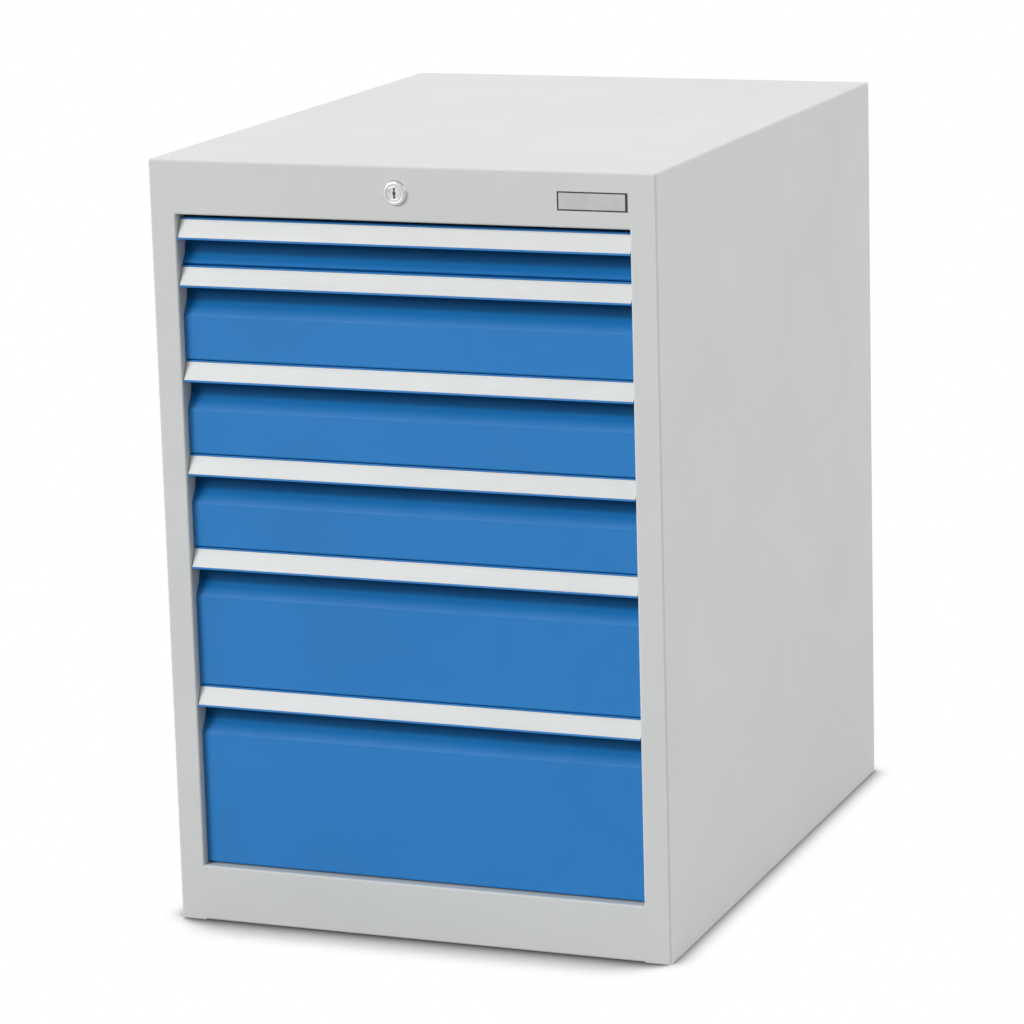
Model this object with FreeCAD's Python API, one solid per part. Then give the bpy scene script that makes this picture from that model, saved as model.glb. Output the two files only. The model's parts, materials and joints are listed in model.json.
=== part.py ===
"""Reagent drawer cabinet: a folded steel carcass with six drawers on full-extension ball slides.

Millimetres. x runs left to right as seen from the front, y from the front to the back, z up.
The origin is the middle of the footprint, on the floor.
"""

import FreeCAD, Part
import math
import os

Vector = FreeCAD.Vector

# ---------------------------------------------------------------- driving sizes: carcass
WIDTH = 555.0
DEPTH = 736.0
TOP_RAIL = 57.0
CARCASS_SHEET = 1.5
CARCASS_BEND = 0.8  # inside radius of a fold
STILE_WIDTH = 28.5
JAMB_RETURN = 20.0  # how far the stile and rails fold back into the opening
BOTTOM_RAIL = 60.5
TOP_SIDE_FLANGE = 12.0
REAR_FLANGE = 16.0
FLOOR_FLANGE = 20.0

# ---------------------------------------------------------------- driving sizes: drawers
MODULE = 25.0  # the slots' pitch, in whole numbers of which the drawers are stacked
DRAWER_MODULES = [2, 4, 4, 4, 6, 8]  # from the top down
FLOOR_TO_OPENING = 62.0  # lower boundary of the lowest drawer's pitch
FRONT_DROP = 4.4  # of a drawer front's top below the upper boundary of its pitch
FRONT_GAP = 0.6  # between one drawer front and the next
SIDE_GAP = 0.8  # between a drawer front and a jamb
REAR_SPACE = 106.6  # between the trays and the back panel, where the locking bar runs
TRAY_SHEET = 1.2
TRAY_BOTTOM_GAP = 4.0
TRAY_TOP_GAP = 10.0
HEM_HEIGHT = 8.0
FRONT_SHEET = 1.2
FRONT_BEND = 1.0

# The drawer front's outline, as depth behind the carcass front and drop below the front's top.
FRONT_DEPTH = 24.0  # back of the front, where the tray starts
LIP_TOP_DEPTH = 9.5
LIP_BOTTOM_DEPTH = 0.9
GRIP_HEIGHT = 22.0  # from the top down to the underside of the grip
TOP_LIP = 1.6
BOTTOM_LIP = 2.2
LABEL_CHANNEL_DEPTH = 1.6
RECESS_DEPTH = 21.0
RECESS_UNDERCUT = 0.9  # how far the recess rises less than the grip's underside falls
RECESS_KNEE_DEPTH = 17.6
RECESS_KNEE = 38.1  # drop at which the back of the recess turns forward
PANEL_DEPTH = 9.0
RECESS_BOTTOM = 52.6  # drop at which the recess has run out into the flat panel
LIP_ROUNDING = 0.8
LIP_EDGE = 0.4
LABEL_FIT = 0.1
LABEL_RIDGE = 1.3
LABEL_FACE_RECESS = 0.45

# ---------------------------------------------------------------- driving sizes: slides
UPRIGHT_WIDTH = 40.0
SLOT_HEIGHT = 14.0
SLOT_WIDTH = 4.0
SLOT_CLEARANCE = 0.5
HOOK_REACH = 5.0
RAIL_OVERRUN = 16.1  # how far the cabinet and middle rails reach past the tray
SLIDE_THICKNESS = 24.8  # from the uprights' face to the tray's side
RAIL_WEB = 2.0
RAIL_FLANGE = 2.6
RAIL_CENTRE = 23.0  # height of a slide's middle above the drawer's lower boundary
HEAD_WIDTH = 6.6
HEAD_HALF_HEIGHT = 11.8
HEAD_WALL = 2.2
HEAD_FLANGE = 3.4
BRIDGE_HALF_HEIGHT = 1.5
WEB_CLEARANCE = 1.4  # between a channel's web and the head that runs in it
PASS_CLEARANCE = 1.4  # between a jamb and the middle rail that passes it
FLANGE_OVERREACH = 1.0
BALL_RADIUS = 2.0
BALL_CLEARANCE = 0.05
RACEWAY_LAND = 0.286  # how far a raceway's flanks go on past the balls
CAGE_SHEET = 0.8
CAGE_BALL_CLEARANCE = 0.1
CAGE_FRONT_MARGIN = 2.0
CAGE_REAR_MARGIN = 11.9
BALLS_PER_ROW = 5
BALL_END = 14.0  # from the cage's end to its last ball

# ---------------------------------------------------------------- driving sizes: lock
LOCK_X = -2.0
LOCK_DROP = 27.5  # below the cabinet's top
COLLAR_FRONT_RADIUS = 11.8
COLLAR_BASE_RADIUS = 13.4
COLLAR_THICKNESS = 3.0
COLLAR_ROUNDING = 0.6
BARREL_RADIUS = 9.5
BARREL_LENGTH = 24.0
PLUG_RADIUS = 8.0
PLUG_CLEARANCE = 0.05
PLUG_RECESS = 0.3
KEYHOLE_HEIGHT = 11.0
KEYHOLE_WIDTH = 1.8
KEYHOLE_MIDDLE = 4.2
KEYHOLE_DEPTH = 10.0
NUT_ACROSS_FLATS = 24.0
NUT_THICKNESS = 4.0
ROD_RADIUS = 4.0
ROD_CLEARANCE = 0.06
CRANK_RADIUS = 9.0
CRANK_THICKNESS = 3.0
CRANK_PIN_RADIUS = 2.5
CRANK_MARGIN = 4.0
PIN_SLOT_CLEARANCE = 0.45
BRACKET_SHEET = 3.0
BRACKET_WIDTH = 30.0
BAR_WIDTH = 30.0
BAR_THICKNESS = 4.0
BAR_GUIDE_CLEARANCE = 0.5
BAR_ABOVE_ROD = 6.0
BAR_TAIL = 12.0  # below the lowest drawer
BAR_OFFSET = 1.5  # of the bar's middle from the crank pin at rest
CRANK_TO_BAR = 4.0
CATCH_REACH = 25.0  # how far a tray's catch tab stands out behind it
CATCH_WIDTH = 40.0
CATCH_SHEET = 2.0
CATCH_HEIGHT = 22.0  # underside of the catch tab above the drawer's lower boundary
CATCH_HOLE = 13.0
PEG_SIZE = 8.0
PEG_HEIGHT = 14.0
PEG_CLEARANCE = 2.0  # between an unlocked peg and the catch tab above it
PEG_ARM = 5.0
GUIDE_HEIGHT = 16.0
GUIDE_WALL = 3.0
GUIDE_FOOT = 15.0
GUIDE_DROP = 32.0  # below the boundary under a guided drawer
GUIDED_DRAWERS = [1, 3, 5]

# ---------------------------------------------------------------- driving sizes: name plate
PLATE_INSET = 1.5  # of the window from the line of the jamb
PLATE_DROP = 30.0
PLATE_WINDOW_WIDTH = 75.0
PLATE_WINDOW_HEIGHT = 19.5
PLATE_GAP = 1.5
PLATE_RIGHT_GAP = 3.0
PLATE_BASE_MARGIN = 5.0
PLATE_BASE = 1.5
PLATE_RECESS = 0.4

# ---------------------------------------------------------------- derived places
half_width = WIDTH / 2
front_y = -DEPTH / 2
back_y = DEPTH / 2
opening_half = half_width - STILE_WIDTH
drawer_pitches = [MODULE * modules for modules in DRAWER_MODULES]
opening_top = FLOOR_TO_OPENING + sum(drawer_pitches)
height = opening_top + TOP_RAIL
lock_z = height - LOCK_DROP
plate_x = opening_half - PLATE_INSET - PLATE_WINDOW_WIDTH / 2
plate_z = height - PLATE_DROP
outer_bend = CARCASS_BEND + CARCASS_SHEET
inner_side_x = half_width - CARCASS_SHEET
rear_flange_inner_y = back_y - CARCASS_SHEET

upright_face_x = opening_half - PASS_CLEARANCE + WEB_CLEARANCE + RAIL_WEB
front_half = opening_half - SIDE_GAP
tray_half = upright_face_x - SLIDE_THICKNESS
tray_front_y = front_y + FRONT_DEPTH
tray_back_y = rear_flange_inner_y - CARCASS_SHEET - REAR_SPACE
usable_depth = tray_back_y - tray_front_y - 2 * TRAY_SHEET
drawer_travel = usable_depth

front_upright_y = front_y + JAMB_RETURN + SLOT_CLEARANCE
rail_front_y = tray_front_y + SLOT_CLEARANCE
rail_back_y = tray_back_y + RAIL_OVERRUN
rear_upright_y = rail_back_y - UPRIGHT_WIDTH

raceway_depth = BALL_RADIUS / math.sqrt(2) + RACEWAY_LAND
ball_seat = (BALL_RADIUS + BALL_CLEARANCE) * math.sqrt(2) - raceway_depth
ball_z = HEAD_HALF_HEIGHT + ball_seat
flange_inner_z = ball_z + ball_seat
rail_half_height = flange_inner_z + RAIL_FLANGE
outer_head_x = upright_face_x - RAIL_WEB - WEB_CLEARANCE - HEAD_WIDTH / 2
inner_head_x = tray_half + RAIL_WEB + WEB_CLEARANCE + HEAD_WIDTH / 2

rod_back_y = tray_back_y + CATCH_REACH + CRANK_TO_BAR
bar_front_y = rod_back_y + CRANK_TO_BAR
bar_back_y = bar_front_y + BAR_THICKNESS
crank_rise = CRANK_RADIUS * math.sin(math.radians(45))  # the quarter turn is centred on level
bar_x = LOCK_X - crank_rise - BAR_OFFSET
bar_lift = 2 * crank_rise
catch_y = tray_back_y + CATCH_REACH / 2 + CATCH_SHEET / 2
cage_front_y = rail_front_y + drawer_travel / 4 + CAGE_FRONT_MARGIN
cage_length = tray_back_y - rail_front_y - drawer_travel / 2 - CAGE_FRONT_MARGIN - CAGE_REAR_MARGIN


def drawer_floors():
    """Lower boundary of each drawer's pitch, from the top drawer down."""
    floors = []
    top = opening_top
    for pitch in drawer_pitches:
        top -= pitch
        floors.append(top)
    return floors


# ---------------------------------------------------------------- helpers
def block(x0, x1, y0, y1, z0, z1):
    """A box between two corners."""
    return Part.makeBox(x1 - x0, y1 - y0, z1 - z0, Vector(x0, y0, z0))


def rod(radius, x, z, y0, y1):
    """A cylinder along y."""
    return Part.makeCylinder(radius, y1 - y0, Vector(x, y0, z), Vector(0, 1, 0))


def mirrored(shape):
    """The shape's other hand, across the cabinet's middle."""
    return shape.mirror(Vector(0, 0, 0), Vector(1, 0, 0))


def both_sides(shape):
    """The shape and its other hand."""
    return [shape, mirrored(shape)]


def fused(shapes):
    """One solid from several that touch."""
    return shapes[0].multiFuse(shapes[1:]).removeSplitter()


def rounded_edges(points, radii, closed):
    """Edges through flat points, with each corner rounded to its radius."""
    count = len(points)
    starts, ends, arcs = list(points), list(points), [None] * count
    corners = range(count) if closed else range(1, count - 1)
    for n in corners:
        radius = radii[n]
        before, corner, after = points[n - 1], points[n], points[(n + 1) % count]
        to_before = (before - corner).normalize()
        to_after = (after - corner).normalize()
        half_angle = to_before.getAngle(to_after) / 2
        if radius <= 0 or half_angle > math.pi / 2 - 1e-6:
            continue
        reach = radius / math.tan(half_angle)
        starts[n] = corner + to_before * reach
        ends[n] = corner + to_after * reach
        middle_way = (to_before + to_after).normalize()
        middle = corner + middle_way * (radius / math.sin(half_angle) - radius)
        arcs[n] = Part.Arc(starts[n], middle, ends[n]).toShape()
    edges = []
    for n in range(count if closed else count - 1):
        edges.append(Part.makeLine(ends[n], starts[(n + 1) % count]))
        following = arcs[(n + 1) % count]
        if following is not None:
            edges.append(following)
    return edges


def offset_points(points, sideways):
    """The open path moved in its plane by the vectors that sideways gives for its runs."""
    moved = [points[0] + sideways[0]]
    for n in range(1, len(points) - 1):
        before, after = sideways[n - 1], sideways[n]
        mitre = (before + after).normalize()
        moved.append(points[n] + mitre * (before.Length / mitre.dot(before) * before.Length))
    moved.append(points[-1] + sideways[-1])
    return moved


def folded_sheet(points, thickness, inside_radius, along, sharp=()):
    """A folded sheet, drawn out by the vector along: its visible face follows the points, and its
    thickness goes to the side of along x travel, or to the other side where it is negative."""
    normal = Vector(along).normalize()
    runs = [(b - a).normalize() for a, b in zip(points, points[1:])]
    other = offset_points(points, [normal.cross(run) * thickness for run in runs])
    face_radii, other_radii = [0.0] * len(points), [0.0] * len(points)
    for n in range(1, len(points) - 1):
        if n in sharp:
            continue
        outside_radius = inside_radius + abs(thickness)
        turns_to_thickness = runs[n - 1].cross(runs[n]).dot(normal) * thickness > 0
        face_radii[n] = outside_radius if turns_to_thickness else inside_radius
        other_radii[n] = inside_radius if turns_to_thickness else outside_radius
    there = rounded_edges(points, face_radii, False)
    back = rounded_edges(other, other_radii, False)
    ends = [Part.makeLine(points[0], other[0]), Part.makeLine(points[-1], other[-1])]
    outline = Part.Wire(Part.__sortEdges__(there + back + ends))
    return Part.Face(outline).extrude(along)


def drawn_out(points, radii, along):
    """A closed outline with rounded corners, drawn out by the vector along."""
    outline = Part.Wire(rounded_edges(points, radii, True))
    return Part.Face(outline).extrude(along)


# ---------------------------------------------------------------- carcass
def side_panel():
    """Right side folded from one sheet; the stile runs on flat to meet the bottom rail."""
    side_x, flange_x = half_width, half_width - REAR_FLANGE
    lower = [
        Vector(flange_x, back_y, 0),
        Vector(side_x, back_y, 0),
        Vector(side_x, front_y, 0),
        Vector(opening_half, front_y, 0),
        Vector(opening_half, front_y + JAMB_RETURN, 0),
    ]
    below = folded_sheet(lower, -CARCASS_SHEET, CARCASS_BEND, Vector(0, 0, opening_top))
    jamb_x, jamb_back_y = opening_half + outer_bend, front_y + JAMB_RETURN + 1
    notch = block(opening_half - 1, jamb_x, front_y - 1, jamb_back_y, -1, BOTTOM_RAIL)
    tongue = block(opening_half, jamb_x, front_y, front_y + CARCASS_SHEET, 0, BOTTOM_RAIL)
    below = fused([below.cut(notch), tongue])
    upper = [
        Vector(flange_x, back_y, opening_top),
        Vector(side_x, back_y, opening_top),
        Vector(side_x, front_y + outer_bend, opening_top),
    ]
    rise = height - TOP_SIDE_FLANGE - opening_top
    above = folded_sheet(upper, -CARCASS_SHEET, CARCASS_BEND, Vector(0, 0, rise))
    return fused([below, above])


def fold_rounding(z):
    """What the fold at the opening's upper edge leaves out of a square corner."""
    corner = block(-opening_half, opening_half, front_y, front_y + outer_bend, z, z + outer_bend)
    foot = Vector(-opening_half, front_y + outer_bend, z + outer_bend)
    return corner.cut(Part.makeCylinder(outer_bend, 2 * opening_half, foot, Vector(1, 0, 0)))


def top_panel():
    """Top pan: its front flange is the rail above the drawers and folds back into the opening."""
    pan = block(-half_width, half_width, front_y, back_y, opening_top, height)
    rounded = [
        edge
        for edge in pan.Edges
        if edge.BoundBox.ZMin > height - 1 or edge.BoundBox.ZLength > 1
    ]
    pan = pan.makeFillet(outer_bend, rounded)
    front_inner_y = front_y + CARCASS_SHEET
    hollow = block(
        -inner_side_x,
        inner_side_x,
        front_inner_y,
        rear_flange_inner_y,
        opening_top - 1,
        height - CARCASS_SHEET,
    )
    below_flange = block(
        -half_width - 1,
        half_width + 1,
        front_y + outer_bend,
        back_y + 1,
        opening_top - 1,
        height - TOP_SIDE_FLANGE,
    )
    opening_return = block(
        -opening_half,
        opening_half,
        front_inner_y,
        front_y + JAMB_RETURN,
        opening_top,
        opening_top + CARCASS_SHEET,
    )
    pan = fused([pan.cut(hollow).cut(below_flange), opening_return])
    pan = pan.cut(fold_rounding(opening_top))
    lock_hole = rod(BARREL_RADIUS + SLOT_CLEARANCE / 2, LOCK_X, lock_z, front_y - 1, front_inner_y + 1)
    window = block(
        plate_x - PLATE_WINDOW_WIDTH / 2,
        plate_x + PLATE_WINDOW_WIDTH / 2,
        front_y - 1,
        front_inner_y + 1,
        plate_z - PLATE_WINDOW_HEIGHT / 2,
        plate_z + PLATE_WINDOW_HEIGHT / 2,
    )
    return pan.cut(lock_hole).cut(window)


def bottom_front_rail():
    """Channel below the drawers, flush with the stiles."""
    profile = [
        Vector(-opening_half, front_y + JAMB_RETURN, 0),
        Vector(-opening_half, front_y, 0),
        Vector(-opening_half, front_y, BOTTOM_RAIL),
        Vector(-opening_half, front_y + JAMB_RETURN, BOTTOM_RAIL),
    ]
    return folded_sheet(profile, -CARCASS_SHEET, CARCASS_BEND, Vector(2 * opening_half, 0, 0))


def floor_panel():
    """Flat base that the cabinet stands on, with flanges up against both sides."""
    profile = [
        Vector(-inner_side_x, front_y + JAMB_RETURN, FLOOR_FLANGE),
        Vector(-inner_side_x, front_y + JAMB_RETURN, 0),
        Vector(inner_side_x, front_y + JAMB_RETURN, 0),
        Vector(inner_side_x, front_y + JAMB_RETURN, FLOOR_FLANGE),
    ]
    run = rear_flange_inner_y - CARCASS_SHEET - profile[0].y
    return folded_sheet(profile, -CARCASS_SHEET, CARCASS_BEND, Vector(0, run, 0))


def back_panel():
    """Flat back, welded in front of the side panels' rear flanges."""
    half = inner_side_x - CARCASS_BEND
    return block(
        -half,
        half,
        rear_flange_inner_y - CARCASS_SHEET,
        rear_flange_inner_y,
        0,
        height - CARCASS_SHEET,
    )


def upright(y0):
    """Slotted channel against the right side panel, which carries the slides."""
    bottom, top = CARCASS_SHEET, height - CARCASS_SHEET
    profile = [
        Vector(inner_side_x, y0, bottom),
        Vector(upright_face_x, y0, bottom),
        Vector(upright_face_x, y0 + UPRIGHT_WIDTH, bottom),
        Vector(inner_side_x, y0 + UPRIGHT_WIDTH, bottom),
    ]
    channel = folded_sheet(profile, -CARCASS_SHEET, CARCASS_BEND, Vector(0, 0, top - bottom))
    floor_notch = block(
        inner_side_x - CARCASS_SHEET - CARCASS_BEND,
        inner_side_x + 1,
        y0 - 1,
        y0 + UPRIGHT_WIDTH + 1,
        0,
        FLOOR_FLANGE + SLOT_CLEARANCE,
    )
    slot_y = y0 + UPRIGHT_WIDTH / 2
    slots = []
    z = FLOOR_TO_OPENING + MODULE / 2
    while z < opening_top:
        slots.append(
            block(
                upright_face_x - 1,
                upright_face_x + CARCASS_SHEET + 1,
                slot_y - SLOT_WIDTH / 2,
                slot_y + SLOT_WIDTH / 2,
                z - SLOT_HEIGHT / 2,
                z + SLOT_HEIGHT / 2,
            )
        )
        z += MODULE
    return channel.cut(floor_notch).cut(Part.makeCompound(slots))


def name_plate():
    """Blank plate held behind the window in the top rail."""
    inner_y = front_y + CARCASS_SHEET
    base = block(
        plate_x - PLATE_WINDOW_WIDTH / 2 - PLATE_BASE_MARGIN,
        min(plate_x + PLATE_WINDOW_WIDTH / 2 + PLATE_BASE_MARGIN, inner_side_x - CARCASS_SHEET),
        inner_y,
        inner_y + PLATE_BASE,
        plate_z - PLATE_WINDOW_HEIGHT / 2 - PLATE_BASE_MARGIN,
        plate_z + PLATE_WINDOW_HEIGHT / 2 + PLATE_BASE_MARGIN,
    )
    face = block(
        plate_x - PLATE_WINDOW_WIDTH / 2 + PLATE_GAP,
        plate_x + PLATE_WINDOW_WIDTH / 2 - PLATE_RIGHT_GAP,
        front_y + PLATE_RECESS,
        inner_y + PLATE_BASE / 2,
        plate_z - PLATE_WINDOW_HEIGHT / 2 + PLATE_GAP,
        plate_z + PLATE_WINDOW_HEIGHT / 2 - PLATE_GAP,
    )
    return fused([base, face])


# ---------------------------------------------------------------- ball slides
def raceway(x, z, up, y0, y1):
    """V groove along y, cut into a level face at height z; it opens upwards or downwards."""
    way = 1 if up else -1
    spread = raceway_depth + 1
    points = [
        Vector(x, y0, z - way * raceway_depth),
        Vector(x + spread, y0, z + way),
        Vector(x - spread, y0, z + way),
    ]
    return Part.Face(Part.makePolygon(points + points[:1])).extrude(Vector(0, y1 - y0, 0))


def channel_rail(web_x, tip_x, head_x, y0, y1, z):
    """Outer member of a slide: a web, two flanges and a raceway inside each flange."""
    low_x, high_x = min(web_x, tip_x), max(web_x, tip_x)
    body = block(low_x, high_x, y0, y1, z - rail_half_height, z + rail_half_height)
    inward = RAIL_WEB if web_x < tip_x else -RAIL_WEB
    hollow_x = sorted([web_x + inward, tip_x + inward])
    hollow = block(*hollow_x, y0 - 1, y1 + 1, z - flange_inner_z, z + flange_inner_z)
    upper = raceway(head_x, z + flange_inner_z, False, y0 - 1, y1 + 1)
    lower = raceway(head_x, z - flange_inner_z, True, y0 - 1, y1 + 1)
    return body.cut(hollow).cut(upper).cut(lower)


def cabinet_rail(z):
    """Right-hand rail that hooks into the slots of the front and rear uprights."""
    tip_x = outer_head_x - HEAD_WIDTH / 2 - FLANGE_OVERREACH
    rail = channel_rail(upright_face_x, tip_x, outer_head_x, rail_front_y, rail_back_y, z)
    hooks = []
    for upright_y in (front_upright_y, rear_upright_y):
        slot_y = upright_y + UPRIGHT_WIDTH / 2
        slot_z = z - RAIL_CENTRE + MODULE / 2
        hooks.append(
            block(
                upright_face_x - RAIL_WEB / 2,
                upright_face_x + HOOK_REACH,
                slot_y - SLOT_WIDTH / 2 + SLOT_CLEARANCE,
                slot_y + SLOT_WIDTH / 2 - SLOT_CLEARANCE,
                slot_z - SLOT_HEIGHT / 2 + SLOT_CLEARANCE,
                slot_z + SLOT_HEIGHT / 2 - SLOT_CLEARANCE,
            )
        )
    return fused([rail] + hooks)


def drawer_rail(z):
    """Right-hand rail welded to the tray's side."""
    tip_x = inner_head_x + HEAD_WIDTH / 2 + FLANGE_OVERREACH
    return channel_rail(tray_half, tip_x, inner_head_x, rail_front_y, tray_back_y, z)


def middle_rail(z):
    """Right-hand middle member: two hollow heads joined by a bridge, with raceways above and below."""
    y0, y1 = rail_front_y, rail_back_y
    bottom, top = z - HEAD_HALF_HEIGHT, z + HEAD_HALF_HEIGHT
    half = HEAD_WIDTH / 2
    heads = [block(x - half, x + half, y0, y1, bottom, top) for x in (inner_head_x, outer_head_x)]
    bridge_bottom, bridge_top = z - BRIDGE_HALF_HEIGHT, z + BRIDGE_HALF_HEIGHT
    pocket_x = (inner_head_x - half + HEAD_WALL, outer_head_x + half - HEAD_WALL)
    pocket = block(*pocket_x, y0 - 1, y1 + 1, bottom + HEAD_FLANGE, top - HEAD_FLANGE)
    bridge = block(*pocket_x, y0, y1, bridge_bottom, bridge_top)
    member = fused([head.cut(pocket) for head in heads] + [bridge])
    for head_x in (inner_head_x, outer_head_x):
        member = member.cut(raceway(head_x, top, True, y0 - 1, y1 + 1))
        member = member.cut(raceway(head_x, bottom, False, y0 - 1, y1 + 1))
    return member


def ball_cage(head_x, web_side, z):
    """Folded strip around one head, and its two rows of balls. web_side is 1 where the
    strip's upright web is on the head's right."""
    y0, y1 = cage_front_y, cage_front_y + cage_length
    web_middle = head_x + web_side * (HEAD_WIDTH / 2 + WEB_CLEARANCE / 2)
    far_x = head_x - web_side * HEAD_WIDTH / 2
    web_outer = web_middle + web_side * CAGE_SHEET / 2
    arm_low, arm_high = ball_z - CAGE_SHEET / 2, ball_z + CAGE_SHEET / 2
    web_x = sorted([web_outer, web_middle - web_side * CAGE_SHEET / 2])
    arm_x = sorted([web_outer, far_x])
    strip = [
        block(*web_x, y0, y1, z - arm_high, z + arm_high),
        block(*arm_x, y0, y1, z + arm_low, z + arm_high),
        block(*arm_x, y0, y1, z - arm_high, z - arm_low),
    ]
    pocket_radius = BALL_RADIUS + CAGE_BALL_CLEARANCE
    spacing = (cage_length - 2 * BALL_END) / (BALLS_PER_ROW - 1)
    pockets, balls = [], []
    for n in range(BALLS_PER_ROW):
        y = y0 + BALL_END + n * spacing
        for row_z in (z - ball_z, z + ball_z):
            foot = Vector(head_x, y, row_z - CAGE_SHEET)
            pockets.append(Part.makeCylinder(pocket_radius, 2 * CAGE_SHEET, foot))
            balls.append(Part.makeSphere(BALL_RADIUS, Vector(head_x, y, row_z)))
    return [fused(strip).cut(Part.makeCompound(pockets))] + balls


def outer_cage(z):
    """Runs between the cabinet rail and the middle rail, at a quarter of the drawer's travel."""
    return ball_cage(outer_head_x, 1, z)


def inner_cage(z):
    """Runs between the middle rail and the drawer rail, at three quarters of the travel."""
    return ball_cage(inner_head_x, -1, z)


# ---------------------------------------------------------------- drawers
def between(drop, upper, lower):
    """Depth at a drop on the straight line from one (depth, drop) to another."""
    share = (drop - upper[1]) / (lower[1] - upper[1])
    return upper[0] + (lower[0] - upper[0]) * share


def face_depth(drop):
    """Depth of the grip's face, which leans forward from its top to its underside."""
    return between(drop, (LIP_TOP_DEPTH, 0), (LIP_BOTTOM_DEPTH, GRIP_HEIGHT))


def front_point(x, top, depth, drop):
    return Vector(x, front_y + depth, top - drop)


def front_outline(x, top, front_height):
    """The sheet's visible face, from the back of the top flange to the back of the bottom one."""
    channel = LABEL_CHANNEL_DEPTH
    knee, run_out = (RECESS_KNEE_DEPTH, RECESS_KNEE), (PANEL_DEPTH, RECESS_BOTTOM)
    if front_height > RECESS_BOTTOM + FRONT_SHEET:
        panel = [run_out, (PANEL_DEPTH, front_height)]
    else:
        panel = [(between(front_height, knee, run_out), front_height)]
    places = [
        (FRONT_DEPTH, 0),
        (face_depth(0) + channel, 0),
        (face_depth(GRIP_HEIGHT) + channel, GRIP_HEIGHT),
        (RECESS_DEPTH, GRIP_HEIGHT + RECESS_UNDERCUT),
        knee,
        *panel,
        (FRONT_DEPTH, front_height),
    ]
    return [front_point(x, top, depth, drop) for depth, drop in places]


def lip(top, drop0, drop1, rounding):
    """A ledge that stands out from the sheet and holds the label strip in."""
    depth = LABEL_CHANNEL_DEPTH + FRONT_SHEET / 2
    places = [
        (face_depth(drop0), drop0),
        (face_depth(drop0) + depth, drop0),
        (face_depth(drop1) + depth, drop1),
        (face_depth(drop1), drop1),
    ]
    points = [front_point(-front_half, top, *place) for place in places]
    return drawn_out(points, rounding, Vector(2 * front_half, 0, 0))


def drawer_front(floor, pitch):
    """Folded front with a grip along its whole width and a cap at each end."""
    top = floor + pitch - FRONT_DROP
    bottom = max(floor - FRONT_DROP + FRONT_GAP, FLOOR_TO_OPENING)
    across = Vector(2 * front_half, 0, 0)
    outline = front_outline(-front_half, top, top - bottom)
    sheet = folded_sheet(outline, FRONT_SHEET, FRONT_BEND, across, sharp=(1, 2))
    cap = Part.Face(Part.makePolygon(outline + outline[:1])).extrude(Vector(FRONT_SHEET, 0, 0))
    upper_lip = lip(top, 0, TOP_LIP, [LIP_ROUNDING, 0, 0, LIP_EDGE])
    lower_lip = lip(top, GRIP_HEIGHT - BOTTOM_LIP, GRIP_HEIGHT, [LIP_EDGE, 0, 0, LIP_ROUNDING])
    return fused([sheet, upper_lip, lower_lip, cap, mirrored(cap)])


def label_strip(floor, pitch):
    """Plastic strip that snaps in between the lips, with a ridge along both edges."""
    top = floor + pitch - FRONT_DROP
    drop0, drop1 = TOP_LIP + LABEL_FIT, GRIP_HEIGHT - BOTTOM_LIP - LABEL_FIT
    back, face, ridge = LABEL_CHANNEL_DEPTH - LABEL_FIT, LABEL_FACE_RECESS, LABEL_FIT
    drops = [drop0, drop1, drop1, drop1 - LABEL_RIDGE, drop1 - LABEL_RIDGE]
    behind = [back, back, ridge, ridge, face]
    drops += [drop0 + LABEL_RIDGE, drop0 + LABEL_RIDGE, drop0]
    behind += [face, ridge, ridge]
    points = [
        front_point(-front_half, top, face_depth(drop) + depth, drop)
        for drop, depth in zip(drops, behind)
    ]
    outline = Part.Face(Part.makePolygon(points + points[:1]))
    return outline.extrude(Vector(2 * front_half, 0, 0))


def tray(floor, pitch):
    """Folded tray with hemmed side and rear walls and a catch tab behind it."""
    z0, z1 = floor + TRAY_BOTTOM_GAP, floor + pitch - TRAY_TOP_GAP
    shell = block(-tray_half, tray_half, tray_front_y, tray_back_y, z0, z1)
    inside = block(
        TRAY_SHEET - tray_half,
        tray_half - TRAY_SHEET,
        tray_front_y + TRAY_SHEET,
        tray_back_y - TRAY_SHEET,
        z0 + TRAY_SHEET,
        z1 + 1,
    )
    hem_clears_rails = z1 - HEM_HEIGHT > floor + RAIL_CENTRE + rail_half_height
    hem_half = tray_half + TRAY_SHEET if hem_clears_rails else tray_half
    hem = block(-hem_half, hem_half, tray_front_y, tray_back_y + TRAY_SHEET, z1 - HEM_HEIGHT, z1)
    tab_z = floor + CATCH_HEIGHT
    tab = block(
        bar_x - CATCH_WIDTH / 2,
        bar_x + CATCH_WIDTH / 2,
        tray_back_y - TRAY_SHEET,
        tray_back_y + CATCH_REACH,
        tab_z,
        tab_z + CATCH_SHEET,
    )
    hole = block(
        bar_x - CATCH_HOLE / 2,
        bar_x + CATCH_HOLE / 2,
        catch_y - CATCH_HOLE / 2,
        catch_y + CATCH_HOLE / 2,
        tab_z - 1,
        tab_z + CATCH_SHEET + 1,
    )
    return fused([shell, hem, tab]).cut(inside).cut(hole)


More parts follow.
